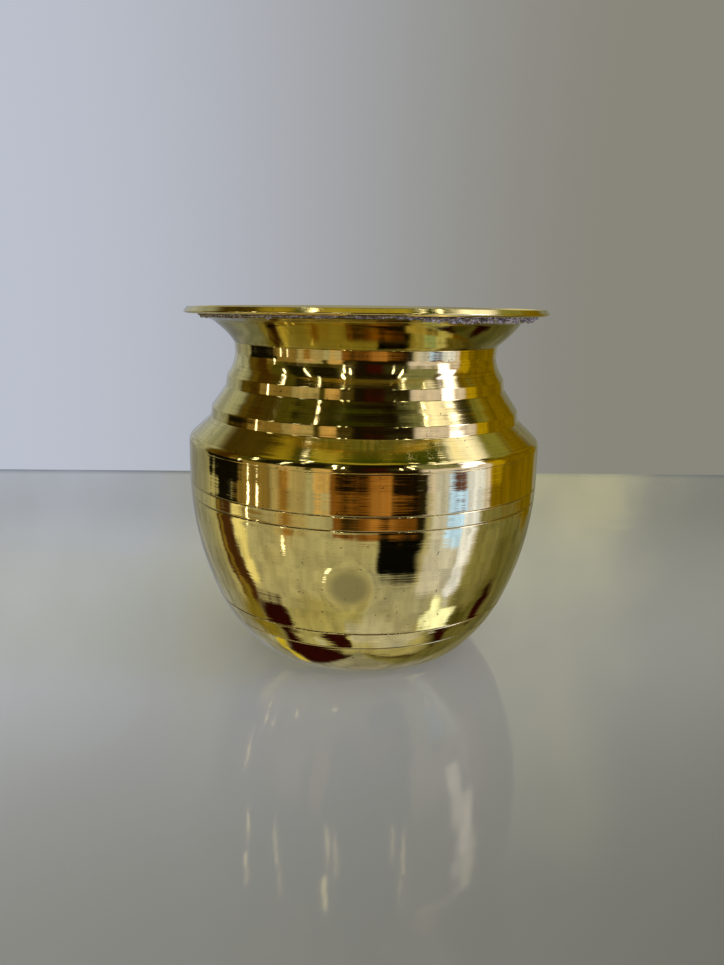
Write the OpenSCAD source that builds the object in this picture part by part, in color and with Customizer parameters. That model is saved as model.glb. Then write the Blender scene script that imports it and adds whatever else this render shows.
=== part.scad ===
// Brass kalash pot: a round-bellied bowl, a stepped shoulder, a short flared neck and a
// lip ring with a rolled edge, each spun from sheet brass, fitted into the next and brazed.
// Millimetres, +Z up, origin at the centre of the base on the surface that it stands on.

/* [Pot] */
// Overall height
pot_h = 101.4; // [100.6:0.2:101.8]
// Outside diameter of the lip
mouth_d = 106; // [105.5:0.5:107.5]
// Outside diameter of the belly at its widest
belly_d = 104.2; // [103.2:0.2:106]
// Thickness of the sheet that the bowl is made of
bowl_wall = 1; // [0.8:0.1:1.2]
// Thickness of the sheet that the shoulder and the neck are made of
upper_wall = 0.8; // [0.6:0.1:0.9]

/* [Bowl] */
// Radius of the long curve down the side of the belly
side_r = 90.5; // [86:0.5:95]
// Angle through which the side curve turns
side_turn = 23; // [21:0.5:25]
// Radius of the tighter curve below it
lower_r = 50; // [46:0.5:54]
// Slope of the wall where it reaches the corner of the base
lower_turn = 45; // [43:0.5:47]
// Radius of the corner of the base
corner_r = 7; // [5:0.5:8]
// Width of the flat ring that the pot stands on
foot_w = 4.5; // [3:0.5:6]
// Height of the hollow in the middle of the base
dish_h = 1.2; // [0.6:0.1:2]
// Heights of the four turned lines round the belly
line_z = [11.7, 16.9, 47.2, 51];
// Depth of each turned line
line_depth = 0.2; // [0.1:0.05:0.3]

/* [Shoulder] */
// Height of the seam between the bowl and the shoulder
seam_z = 61.8; // [61.2:0.2:62.2]
// Foot of the lower step: radius
step_1_r = 45.75; // [45:0.25:46.5]
// Foot of the lower step: height
step_1_z = 69.3; // [68.7:0.1:69.6]
// Foot of the upper step: radius
step_2_r = 41.3; // [41:0.1:42]
// Foot of the upper step: height
step_2_z = 78.2; // [77.5:0.1:78.5]
// Height of each step's upright face
step_h = 3; // [2.5:0.25:3.25]
// Outward lean of each step's upright face
step_lean = 0.4; // [0.2:0.1:0.6]
// Radius on the edges and in the corners of the steps
step_fillet = 0.6; // [0.3:0.1:0.8]
// Height of the edge above the seam, where the shoulder turns inwards
edge_rise = 1.7; // [1.6:0.05:1.9]
// Radius on that edge
edge_r = 3; // [2:0.25:3]
// Height of the waist above the top of the shoulder's flank
flank_rise = 2.9; // [2.4:0.1:3.2]
// How far the flank's top stands out from the waist
flank_flare = 0.5; // [0.3:0.1:0.7]
// Radius of the hollow at the flank's top
flank_fillet = 8; // [5:0.5:8]

/* [Neck and lip] */
// Outside diameter of the waist, the narrowest place
waist_d = 76.8; // [76.4:0.2:77.6]
// Height of the waist
waist_z = 87.6; // [87:0.1:88]
// Radius of the hollow at the waist
waist_fillet = 5; // [3:0.5:6]
// Height of the crease where the neck rises out of the shoulder
crease_z = 90.6; // [90.3:0.1:90.9]
// How far the crease stands out from the waist
crease_flare = 0.3; // [0.1:0.1:0.5]
// Angle of the neck above the crease, from level
neck_slope = 48; // [46:1:52]
// Radius of the bend where the neck turns out under the lip
neck_bend_r = 3.5; // [2.5:0.5:3.5]
// Angle of the lip, from level
lip_slope = 15; // [13:1:17]
// Thickness of the sheet that the lip ring is made of
lip_t = 0.9; // [0.7:0.1:0.9]
// Thickness of the lip ring's rolled edge
roll_d = 1.9; // [1.8:0.1:2.1]
// Width of the lip ring along its slope
lip_w = 8.4; // [8.2:0.1:9]
// Width over which the lip ring rests on the neck
lip_lap = 3; // [2.6:0.1:3.2]
// Width of the solder under the lip, from the end of the neck outwards
solder_w = 3.2; // [2.4:0.1:3.4]
// Reach of the solder down the neck from its end
solder_toe = 1.1; // [0.8:0.1:1.3]
// Thickness of the solder over the neck
solder_t = 0.6; // [0.4:0.1:0.8]

/* [Joints] */
// Depth to which each upper piece enters the piece below
lap = 4.6; // [3.5:0.1:5]
// Thickness of the braze film in a joint
film = 0.1; // [0.08:0.01:0.15]
// Size of the braze fillet at the inner end of a joint
bead = 0.8; // [0.5:0.1:0.9]
// Chamfer that shows as a fine line at a seam
seam_chamfer = 0.2; // [0.1:0.05:0.25]

/* [Hidden] */
$fn = 180;

BRASS = [0.80, 0.63, 0.22];
BRASS_UPPER = [0.74, 0.58, 0.20];
BRAZE = [0.66, 0.52, 0.24];
SOLDER = [0.60, 0.58, 0.66];

// A profile lies in the plane of radius and height. Each of its points is
// [radius, height, corner radius], and the corner radius of a plain point is 0.
ARC_STEPS = 14;
FILLET_STEPS = 5;
ROLL_STEPS = 20;
SHARP = 0.1;

function xy(p) = [p.x, p.y];
function unit(v) = v / norm(v);
function left(v) = [-v.y, v.x];
function polar(a) = [cos(a), sin(a)];
function reversed(list) = [for (i = [len(list) - 1:-1:0]) list[i]];
function tail(list) = [for (i = [1:len(list) - 1]) list[i]];
function turned(v, a) = [v.x * cos(a) - v.y * sin(a), v.x * sin(a) + v.y * cos(a)];
function turn_at(a, b) = atan2(cross(a, b), a * b);

// Points of an arc round centre c, from angle a0 to a1
function arc(c, r, a0, a1, steps = ARC_STEPS) =
    [for (i = [0:steps]) let (p = c + r * polar(a0 + (a1 - a0) * i / steps)) [p.x, p.y, 0]];

// The corner at p, between q before it and s after it, as an arc that is tangent to both sides
function corner(q, p, s, steps = FILLET_STEPS) =
    let (a = unit(xy(p) - xy(q)), b = unit(xy(s) - xy(p)), turn = turn_at(a, b))
    let (start = xy(p) - a * p[2] * tan(abs(turn) / 2))
    let (c = start + left(a) * p[2] * sign(turn))
    [for (i = [0:steps]) c + turned(start - c, turn * i / steps)];

function rounded(path) =
    [for (i = [0:len(path) - 1])
        each (i == 0 || i == len(path) - 1 || path[i][2] == 0
            ? [xy(path[i])]
            : corner(path[i - 1], path[i], path[i + 1]))];

// The same profile moved a distance t to its left, which is the inside of the pot
function inset(path, t) =
    [for (i = [0:len(path) - 1])
        let (last = len(path) - 1, p = xy(path[i]))
        let (a = unit(xy(path[max(i, 1)]) - xy(path[max(i, 1) - 1])))
        let (b = unit(xy(path[min(i, last - 1) + 1]) - xy(path[min(i, last - 1)])))
        let (q = p + t * (left(a) + left(b)) / (1 + a * b))
        let (r = path[i][2] == 0 ? 0 : max(SHARP, path[i][2] - t * sign(turn_at(a, b))))
        [q.x, q.y, r]];

// The point at radius r on the line through p and q
function at_radius(p, q, r) = [r, p.y + (q.y - p.y) * (r - p.x) / (q.x - p.x), 0];

module spun(outline) {
    rotate_extrude() polygon(outline);
}

// The bowl's centres and heights, worked out upwards from the base
belly_r = belly_d / 2;
bowl_bore_r = belly_r - bowl_wall;
side_c = [belly_r - side_r,
    corner_r + (lower_r - corner_r) * sin(lower_turn) + (side_r - lower_r) * sin(side_turn)];
lower_c = side_c + (side_r - lower_r) * polar(-side_turn);
corner_c = lower_c + (lower_r - corner_r) * polar(-lower_turn);
foot_r = corner_c.x;
dish_r = foot_r - foot_w;
dish_curve = (dish_r * dish_r + dish_h * dish_h) / (2 * dish_h);
dish_angle = asin(dish_r / dish_curve);

// Radius of the belly at height z
function belly_radius(z) =
    z > lower_c.y - lower_r * sin(side_turn)
        ? side_c.x + sqrt(side_r * side_r - pow(side_c.y - z, 2))
        : lower_c.x + sqrt(lower_r * lower_r - pow(lower_c.y - z, 2));

// One face of the bowl's sheet, from the axis outwards and up: t is 0 outside and
// the thickness of the sheet inside
function bowl_face(t) = concat(
    arc([0, dish_h - dish_curve], dish_curve + t, 90, 90 - dish_angle),
    arc(corner_c, corner_r - t, -90, -lower_turn),
    tail(arc(lower_c, lower_r - t, -lower_turn, -side_turn)),
    tail(arc(side_c, side_r - t, -side_turn, 0)));

module bowl() {
    outside = [for (p = bowl_face(0)) xy(p)];
    inside = [for (p = bowl_face(bowl_wall)) xy(p)];
    top_edge = [[belly_r, seam_z - seam_chamfer], [belly_r - seam_chamfer, seam_z],
        [bowl_bore_r, seam_z]];
    color(BRASS)
        difference() {
            spun(concat(outside, top_edge, reversed(inside)));
            for (z = line_z) turned_line(z);
        }
}

// A V-shaped line cut round the belly at height z
module turned_line(z) {
    rotate_extrude()
        translate([belly_radius(z), z])
            rotate(45)
                square(line_depth * sqrt(2), center = true);
}

// The shoulder's outside, from the seam up to the crease
skirt_r = bowl_bore_r - film;
waist_r = waist_d / 2;
crease_r = waist_r + crease_flare;
shoulder_face = [
    [belly_r, seam_z + seam_chamfer, 0],
    [belly_r, seam_z + edge_rise, edge_r],
    [step_1_r, step_1_z, step_fillet],
    [step_1_r - step_lean, step_1_z + step_h, step_fillet],
    [step_2_r, step_2_z, step_fillet],
    [step_2_r - step_lean, step_2_z + step_h, step_fillet],
    [waist_r + flank_flare, waist_z - flank_rise, flank_fillet],
    [waist_r, waist_z, waist_fillet],
    [crease_r, crease_z - seam_chamfer, 0]];

// The collar is bored true for the neck's spigot, down to the foot of the braze's fillet
collar_r = waist_r - upper_wall;
collar_foot_z = crease_z - lap - bead;
skirt_bore_r = skirt_r - upper_wall;

module shoulder() {
    face = shoulder_face;
    under = inset(face, upper_wall);
    skirt_top = at_radius(under[1], under[2], skirt_bore_r);
    steps_under = [for (i = [2:5]) under[i]];
    outside = concat(
        [[skirt_r, seam_z - lap], [skirt_r, seam_z], [belly_r - seam_chamfer, seam_z]],
        rounded(face),
        [[crease_r - seam_chamfer, crease_z], [collar_r, crease_z]]);
    inside = rounded(concat(
        [[skirt_bore_r, seam_z - lap, 0], skirt_top],
        steps_under,
        [[collar_r, collar_foot_z, 0], [collar_r, crease_z - seam_chamfer, 0]]));
    color(BRASS_UPPER) spun(concat(outside, reversed(inside)));
}

// The lip ring's frame: along runs outwards up its slope, and across runs up through it.
// The ring's top runs out onto the top of its rolled edge.
along = polar(lip_slope);
across = left(along);
roll_r = roll_d / 2;
roll_c = [mouth_d / 2 - roll_r, pot_h - roll_r];
lip_inner = roll_c + across * (roll_r - lip_t) - along * (lip_w - roll_r);
neck_end = lip_inner + along * lip_lap;

// The neck's outside, from the crease up to its end under the lip ring
spigot_r = collar_r - film;
crease = [crease_r, crease_z];
neck_foot = crease + seam_chamfer * polar(neck_slope);
neck_tip = neck_end - across * upper_wall;
neck_run = cross(neck_tip - crease, along) / cross(polar(neck_slope), along);
bend = crease + neck_run * polar(neck_slope);
neck_face = [
    [neck_foot.x, neck_foot.y, 0],
    [bend.x, bend.y, neck_bend_r],
    [neck_tip.x, neck_tip.y, 0]];

module neck() {
    face = neck_face;
    spigot_bore_r = spigot_r - upper_wall;
    bend_inside = inset(face, upper_wall)[1];
    tip_inside = inset(face, upper_wall)[2];
    spigot_top = [spigot_bore_r, crease_z - upper_wall / 2, 2 * upper_wall];
    outside = concat(
        [[spigot_r, crease_z - lap], [spigot_r, crease_z], [crease_r - seam_chamfer, crease_z],
            xy(neck_foot)],
        corner(face[0], face[1], face[2], ARC_STEPS),
        [xy(neck_tip)]);
    inside = concat(
        [[spigot_bore_r, crease_z - lap]],
        corner([spigot_bore_r, crease_z - lap], spigot_top, bend_inside),
        corner(spigot_top, bend_inside, tip_inside, ARC_STEPS),
        [xy(tip_inside)]);
    color(BRASS_UPPER) spun(concat(outside, reversed(inside)));
}

// A ring of sheet, with its outer edge rolled into a bead and a bevelled inner edge
module lip_ring() {
    meets_roll = 180 + asin((roll_r - lip_t) / roll_r);
    rolled = arc(roll_c, roll_r, lip_slope - meets_roll, lip_slope + 90, ROLL_STEPS);
    top = lip_inner + across * lip_t;
    color(BRASS)
        spun(concat(
            [lip_inner],
            [for (p = rolled) xy(p)],
            [top + along * lip_t, lip_inner + across * lip_t / 3]));
}

// A film of braze between an inner wall at radius r0 and an outer one at r1, from z down
// to the inner wall's end, with a hollow fillet below it
module braze(r0, r1, z) {
    low = z - lap;
    throat = bead / 4;
    color(BRAZE)
        spun([[r0, z], [r0, low], [r0 - bead, low], [r0 - throat, low - throat],
            [r1, low - bead], [r1, z]]);
}

module belly_braze() {
    braze(skirt_r, bowl_bore_r, seam_z);
}

module neck_braze() {
    braze(spigot_r, collar_r, crease_z);
}

// Soft solder run round the end of the neck, thickest over the corner there and thin
// where it spread out under the lip ring
module lip_solder() {
    function place(u, v) = neck_end + along * u - across * v;
    hump = upper_wall + solder_t;
    color(SOLDER)
        spun([place(0, 0), place(0, upper_wall), place(-solder_toe, upper_wall),
            place(-solder_toe * 3 / 4, upper_wall + solder_t / 2), place(-solder_toe / 4, hump),
            place(solder_w / 5, hump), place(solder_w / 2, upper_wall),
            place(solder_w * 3 / 4, upper_wall / 2), place(solder_w, 0)]);
}

bowl();
shoulder();
neck();
lip_ring();
belly_braze();
neck_braze();
lip_solder();
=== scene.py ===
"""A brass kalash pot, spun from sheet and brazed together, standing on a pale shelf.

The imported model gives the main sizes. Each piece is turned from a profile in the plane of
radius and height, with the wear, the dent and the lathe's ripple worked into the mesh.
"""
import math

import bpy
import numpy as np
from mathutils import Matrix, Vector, noise


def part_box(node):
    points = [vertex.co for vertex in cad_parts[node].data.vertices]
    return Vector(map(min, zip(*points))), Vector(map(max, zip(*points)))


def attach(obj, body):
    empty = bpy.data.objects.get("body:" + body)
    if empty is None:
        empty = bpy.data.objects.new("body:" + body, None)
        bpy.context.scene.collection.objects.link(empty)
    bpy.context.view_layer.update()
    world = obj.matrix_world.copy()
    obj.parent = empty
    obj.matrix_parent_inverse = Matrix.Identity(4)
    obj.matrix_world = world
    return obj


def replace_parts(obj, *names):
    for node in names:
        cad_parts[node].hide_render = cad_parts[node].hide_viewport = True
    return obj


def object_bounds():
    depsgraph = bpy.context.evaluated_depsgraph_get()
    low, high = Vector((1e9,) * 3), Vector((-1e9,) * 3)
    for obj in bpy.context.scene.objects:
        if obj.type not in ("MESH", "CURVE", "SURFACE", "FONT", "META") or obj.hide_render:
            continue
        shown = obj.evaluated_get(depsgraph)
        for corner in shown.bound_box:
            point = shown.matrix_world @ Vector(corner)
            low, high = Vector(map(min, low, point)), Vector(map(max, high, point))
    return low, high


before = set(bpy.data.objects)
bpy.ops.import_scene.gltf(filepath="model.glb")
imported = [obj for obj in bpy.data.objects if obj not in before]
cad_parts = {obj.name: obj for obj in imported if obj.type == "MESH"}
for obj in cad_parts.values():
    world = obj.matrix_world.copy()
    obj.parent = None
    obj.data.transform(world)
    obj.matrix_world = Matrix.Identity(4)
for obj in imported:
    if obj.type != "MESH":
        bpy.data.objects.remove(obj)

CAD_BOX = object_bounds()
MM = 0.001

# ---------------------------------------------------------------- sizes from the frame

RIM_Z = CAD_BOX[1].z
MOUTH_R = CAD_BOX[1].x
BELLY_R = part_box("bowl")[1].x
SEAM_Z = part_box("bowl")[1].z
LAP = SEAM_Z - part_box("shoulder")[0].z
CREASE_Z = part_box("shoulder")[1].z

# The rest of the design's dimensions, which boxes don't give
BOWL_WALL = 1.0 * MM
UPPER_WALL = 0.8 * MM
FILM = 0.1 * MM
SIDE_R, SIDE_TURN = 90.5 * MM, 23
LOWER_R, LOWER_TURN = 50 * MM, 45
CORNER_R = 7 * MM
FOOT_W = 4.5 * MM
DISH_H = 1.2 * MM
# Turned lines, each at a height and with a depth
LINES = [(11.7 * MM, 0.10 * MM), (16.9 * MM, 0.17 * MM), (47.2 * MM, 0.15 * MM), (51 * MM, 0.12 * MM)]
LINE_WIDTH = 0.12 * MM
LINE_BLACK = 0.15 * MM
# Foot of each upright face: radius and height
STEPS = [(45.75 * MM, 69.3 * MM), (41.3 * MM, 78.2 * MM)]
STEP_H, STEP_LEAN, STEP_FILLET = 3 * MM, 0.4 * MM, 0.5 * MM
EDGE_RISE, EDGE_R = 1.7 * MM, 3 * MM
WAIST_R, WAIST_Z = 38.4 * MM, 87.6 * MM
CREASE_FLARE = 0.3 * MM
FLANK_RISE = 2.9 * MM
NECK_SLOPE, NECK_BEND_R = 48, 3.5 * MM
LIP_SLOPE = 15
LIP_T, LIP_W, LIP_LAP = 0.9 * MM, 8.4 * MM, 3 * MM
ROLL_R = 0.95 * MM
SEAM_BREAK = 0.05 * MM
SEAM_ROUND = 0.03 * MM
EDGE_BREAK = 0.12 * MM


# ---------------------------------------------------------------- profiles

def polar(degrees):
    return np.array([math.cos(math.radians(degrees)), math.sin(math.radians(degrees))])


def left(v):
    return np.array([-v[1], v[0]])


def unit(v):
    return v / np.linalg.norm(v)


def arc(centre, radius, start, end, step):
    """Points of an arc, from the angle start to end, about step apart."""
    count = max(2, math.ceil(abs(math.radians(end - start)) * radius / step))
    return [centre + radius * polar(a) for a in np.linspace(start, end, count + 1)]


def straight(a, b, step, guard=0.08 * MM):
    """Points between a and b, with one close to each end so that shading stays crisp there."""
    length = np.linalg.norm(b - a)
    if length < 4 * guard:
        return []
    inner = np.linspace(guard, length - guard, max(2, math.ceil(length / step) + 1))
    return [a + unit(b - a) * t for t in inner]


def traced(corners, step):
    """A smooth line through corners, each (radius, height, fillet), as closely spaced points."""
    points = [np.array(c[:2]) for c in corners]
    line = [points[0]]
    for i in range(1, len(points)):
        here, fillet = points[i], corners[i][2]
        before = line[-1]
        if i == len(points) - 1 or fillet == 0:
            line += straight(before, here, step) + [here]
            continue
        a, b = unit(here - points[i - 1]), unit(points[i + 1] - here)
        turn = math.atan2(a[0] * b[1] - a[1] * b[0], a @ b)
        start = here - a * fillet * math.tan(abs(turn) / 2)
        side = math.copysign(1, turn)
        centre = start + left(a) * fillet * side
        first = math.degrees(math.atan2(*(start - centre)[::-1]))
        bend = arc(centre, fillet, first, first + math.degrees(turn), max(fillet / 8, 0.04 * MM))
        line += straight(before, start, step) + bend
    return line


def inset(corners, distance):
    """The same corners moved to the left, which is the inside of the pot."""
    points = [np.array(c[:2]) for c in corners]
    moved = []
    for i, here in enumerate(points):
        a = unit(here - points[i - 1]) if i else unit(points[1] - here)
        b = unit(points[i + 1] - here) if i < len(points) - 1 else a
        turn = math.copysign(1, a[0] * b[1] - a[1] * b[0])
        fillet = max(0.1 * MM, corners[i][2] - distance * turn) if corners[i][2] else 0
        at = here + distance * (left(a) + left(b)) / (1 + a @ b)
        moved.append((at[0], at[1], fillet))
    return moved


def at_radius(p, q, radius):
    """The corner at that radius on the line through p and q."""
    return (radius, p[1] + (q[1] - p[1]) * (radius - p[0]) / (q[0] - p[0]), 0)


# ---------------------------------------------------------------- turned meshes

SAME_POINT = 1e-7
ON_AXIS = 1e-6


class Outline:
    """A closed profile: points in order, each with its face (0 outside, 1 inside) and grime."""

    def __init__(self):
        self.points, self.faces, self.grime = [], [], []

    def add(self, points, face=0, grime=0.0):
        for p in points:
            if self.points and np.linalg.norm(p - self.points[-1]) < SAME_POINT:
                continue
            self.points.append(np.array(p[:2], float))
            self.faces.append(face)
            self.grime.append(grime)
        return self

    def arrays(self):
        points = np.array(self.points)
        steps = np.linalg.norm(np.diff(points, axis=0), axis=1)
        along = np.concatenate([[0], np.cumsum(steps)])
        return points, along, np.array(self.faces), np.array(self.grime)


def store(mesh, name, values):
    layer = mesh.attributes.new(name, "FLOAT", "POINT")
    layer.data.foreach_set("value", np.asarray(values, np.float32))


def woven(index, on_axis, faces, two_sided):
    """Quads between each ring of vertices and the next, and each quad's material slot."""
    quads, slots = [], []
    count, turns = index.shape
    for i in range(count):
        j = (i + 1) % count
        if on_axis[i] and on_axis[j]:
            continue
        here, there = index[i], index[j]
        for k in range(turns):
            m = (k + 1) % turns
            corners = dict.fromkeys((here[k], here[m], there[m], there[k]))
            quads.append([int(c) for c in corners])
            slots.append(int(max(faces[i], faces[j])) if two_sided else 0)
    return quads, slots


def turn(name, outline, turns, materials, body, shape):
    """Turns the outline round the axis into a piece. shape(azimuth, points, along, faces)
    returns the rings' points, each a radius and a height, with their wear."""
    points, along, faces, grime = outline.arrays()
    azimuth = np.linspace(0, 2 * math.pi, turns, endpoint=False)
    grid = np.repeat(points[:, None, :], turns, axis=1)
    grid = shape(azimuth[None, :], grid, along[:, None], faces[:, None])
    on_axis = points[:, 0] < ON_AXIS
    sizes = np.where(on_axis, 1, turns)
    starts = np.cumsum(sizes) - sizes
    index = starts[:, None] + np.where(on_axis[:, None], 0, np.arange(turns)[None, :])
    r, z = grid[..., 0], grid[..., 1]
    xyz = np.stack([r * np.sin(azimuth), -r * np.cos(azimuth), z], axis=2)
    vertices = np.concatenate([ring[:size] for ring, size in zip(xyz, sizes)])
    quads, slots = woven(index, on_axis, faces, len(materials) > 1)
    mesh = bpy.data.meshes.new(name)
    mesh.from_pydata(vertices.tolist(), [], quads)
    mesh.polygons.foreach_set("use_smooth", np.ones(len(quads), bool))
    for material in materials:
        mesh.materials.append(material)
    mesh.polygons.foreach_set("material_index", slots)
    store(mesh, "along", np.repeat(along, sizes))
    store(mesh, "grime", np.repeat(grime, sizes))
    mesh.update()
    piece = bpy.data.objects.new(name, mesh)
    bpy.context.scene.collection.objects.link(piece)
    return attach(piece, body)


# ---------------------------------------------------------------- shader helpers

def new_material(name):
    material = bpy.data.materials.new(name)
    material.use_nodes = True
    tree = material.node_tree
    tree.nodes.clear()
    return material, tree


def node(tree, kind, inputs=None, **settings):
    made = tree.nodes.new(kind)
    for key, value in settings.items():
        setattr(made, key, value)
    for key, value in (inputs or {}).items():
        if isinstance(value, bpy.types.NodeSocket):
            tree.links.new(value, made.inputs[key])
        else:
            made.inputs[key].default_value = value
    return made


def maths(tree, operation, a, b=0.0, c=0.0):
    return node(tree, "ShaderNodeMath", {0: a, 1: b, 2: c}, operation=operation).outputs[0]


def remap(tree, value, low, high, to_low=0.0, to_high=1.0):
    return node(tree, "ShaderNodeMapRange",
                {"Value": value, "From Min": low, "From Max": high,
                 "To Min": to_low, "To Max": to_high}, interpolation_type="SMOOTHSTEP").outputs[0]


def mix_colour(tree, factor, a, b):
    made = tree.nodes.new("ShaderNodeMix")
    made.data_type = "RGBA"
    for key, value in ((0, factor), (6, a), (7, b)):
        if isinstance(value, bpy.types.NodeSocket):
            tree.links.new(value, made.inputs[key])
        else:
            made.inputs[key].default_value = value
    return made.outputs[2]


def rgb(r, g, b):
    return (r, g, b, 1.0)


def object_noise(tree, scale, detail=3.0, roughness=0.5, stretch=(1, 1, 1)):
    """Noise fixed to the pot, with scale in features a metre."""
    place = node(tree, "ShaderNodeTexCoord").outputs["Object"]
    stretched = node(tree, "ShaderNodeVectorMath", {0: place, 1: stretch}, operation="MULTIPLY")
    return node(tree, "ShaderNodeTexNoise",
                {"Vector": stretched.outputs[0], "Scale": scale, "Detail": detail,
                 "Roughness": roughness}).outputs["Fac"]


def ring_noise(tree, per_mm, detail=2.0, roughness=0.6):
    """Noise that only varies along the profile, as a lathe tool's lines do."""
    along = node(tree, "ShaderNodeAttribute", attribute_name="along").outputs["Fac"]
    return node(tree, "ShaderNodeTexNoise",
                {"W": maths(tree, "MULTIPLY", along, 1 / MM), "Scale": per_mm,
                 "Detail": detail, "Roughness": roughness}, noise_dimensions="1D").outputs["Fac"]


# ---------------------------------------------------------------- materials

BRASS = rgb(0.83, 0.67, 0.17)
BRASS_WARM = rgb(0.76, 0.54, 0.10)
RESIDUE = rgb(0.06, 0.04, 0.018)
# The colour of the painted shade on the dent's floor
DENT_PAINTED_SHADE = rgb(0.33, 0.28, 0.09)
OLIVE_OXIDE = rgb(0.20, 0.27, 0.04)
TARNISH = 0.45
# How strongly that painted shade darkens the dent's floor
DENT_SHADE_SHARE = 0.68
QUARTER_TURN = 0.25


def brass_colour(tree, tint, warm, dirt, dull_and_shade, dark_lines, residue):
    """Tarnished in patches, and darker along some lines, in specks and in dirt; the dent's floor is
    darkened with painted shade.
    """
    tarnish = remap(tree, object_noise(tree, 55, 4, 0.6), 0.42, 0.72)
    base = mix_colour(tree, maths(tree, "MULTIPLY", tarnish, TARNISH), tint, warm)
    worn = remap(tree, object_noise(tree, 90, 3, 0.6), 0.35, 0.65)
    base = mix_colour(tree, maths(tree, "MULTIPLY", dark_lines, worn), base, residue)
    specks = remap(tree, object_noise(tree, 900, 2, 0.5), 0.68, 0.75, 0.0, 0.6)
    base = mix_colour(tree, maths(tree, "MAXIMUM", dirt, specks), base, residue)
    # Painted shade: the dent's marked floor is darkened.
    return mix_colour(tree, maths(tree, "MULTIPLY", dull_and_shade, DENT_SHADE_SHARE), base, DENT_PAINTED_SHADE)


def brass_roughness(tree, roughness, dirt, dull_and_shade):
    """The polish, which is poorer in smears, along some lines, in dirt and where dull."""
    smear = remap(tree, object_noise(tree, 130, 5, 0.65, (1, 1, 2.2)), 0.45, 0.8)
    streak = remap(tree, ring_noise(tree, 0.9, 3), 0.35, 0.7)
    rough = maths(tree, "MULTIPLY_ADD", smear, roughness * 0.7, roughness)
    rough = maths(tree, "MULTIPLY_ADD", streak, roughness * 0.5, rough)
    rough = maths(tree, "MULTIPLY_ADD", dirt, 0.35, rough)
    return maths(tree, "MULTIPLY_ADD", dull_and_shade, 0.13, rough)


def brass_relief(tree, fine, line_depth, chatter):
    """Tool lines that fade here and there, crossed by the tool's chatter."""
    fade = remap(tree, object_noise(tree, 35, 2, 0.5), 0.3, 0.7, 0.55, 1.0)
    lines = maths(tree, "MULTIPLY", fine, fade)
    tooled = node(tree, "ShaderNodeBump", {"Height": lines, "Distance": line_depth, "Strength": 1.0})
    skips = object_noise(tree, 150, 2, 0.55, (1, 1, 8))
    crossed = node(tree, "ShaderNodeBump", {"Height": skips, "Distance": chatter, "Strength": 1.0,
                                            "Normal": tooled.outputs[0]})
    return crossed.outputs[0]


def brass(name, tint, warm, roughness, line_depth, line_rate, chatter, anisotropy=0.0,
          stain=0.0, residue=RESIDUE):
    """Sheet brass finished on a lathe, with line_rate tool lines a millimetre. It is dirty
    where grime is stored in the mesh. Where the dent's floor is marked it is rougher and its colour is
    darkened with painted shade. Stain darkens the lines."""
    material, tree = new_material(name)
    grime = node(tree, "ShaderNodeAttribute", attribute_name="grime").outputs["Fac"]
    dull_and_shade = node(tree, "ShaderNodeAttribute", attribute_name="dull_and_shade").outputs["Fac"]
    patchy = remap(tree, object_noise(tree, 420, 3, 0.6), 0.3, 0.6, 0.45, 1.0)
    dirt = maths(tree, "MULTIPLY", grime, patchy)
    fine = ring_noise(tree, line_rate, 2.5, 0.65)
    dark_lines = maths(tree, "MULTIPLY", remap(tree, fine, 0.50, 0.72), stain)
    metal = node(tree, "ShaderNodeBsdfPrincipled", {
        "Base Color": brass_colour(tree, tint, warm, dirt, dull_and_shade, dark_lines, residue),
        "Metallic": 1.0,
        "Roughness": brass_roughness(tree, roughness, dirt, dull_and_shade),
        "Normal": brass_relief(tree, fine, line_depth, chatter)})
    if anisotropy:
        round_axis = node(tree, "ShaderNodeTangent", direction_type="RADIAL", axis="Z")
        tree.links.new(round_axis.outputs[0], metal.inputs["Tangent"])
        metal.inputs["Anisotropic"].default_value = anisotropy
        metal.inputs["Anisotropic Rotation"].default_value = QUARTER_TURN
    out = node(tree, "ShaderNodeOutputMaterial")
    tree.links.new(metal.outputs[0], out.inputs["Surface"])
    return material


def polished_brass():
    return brass("polished_brass", BRASS, BRASS_WARM, roughness=0.035,
                 line_depth=0.010 * MM, line_rate=1.8, chatter=0.012 * MM)


def turned_brass():
    return brass("turned_brass", BRASS, BRASS_WARM, roughness=0.062,
                 line_depth=0.012 * MM, line_rate=1.6, chatter=0.005 * MM,
                 anisotropy=0.85, stain=0.30)


# Painted shade: the same brass as the rest of the pot, made darker for the flare.
def shaded_neck_brass():
    return brass("shaded_neck_brass", rgb(0.50, 0.41, 0.07), rgb(0.42, 0.30, 0.05), roughness=0.050,
                 line_depth=0.006 * MM, line_rate=2.0, chatter=0.003 * MM,
                 anisotropy=0.6, stain=0.25)


def lip_brass():
    return brass("lip_brass", BRASS, BRASS_WARM, roughness=0.09,
                 line_depth=0.004 * MM, line_rate=2.0, chatter=0.006 * MM,
                 anisotropy=0.3, residue=OLIVE_OXIDE)


def inside_brass():
    return brass("inside_brass", rgb(0.72, 0.57, 0.17), rgb(0.52, 0.39, 0.12), roughness=0.30,
                 line_depth=0.02 * MM, line_rate=0.9, chatter=0.03 * MM, anisotropy=0.4)


def braze_metal():
    return brass("braze_metal", rgb(0.55, 0.42, 0.20), rgb(0.35, 0.24, 0.12), roughness=0.42,
                 line_depth=0.004 * MM, line_rate=1.0, chatter=0.02 * MM)


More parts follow.
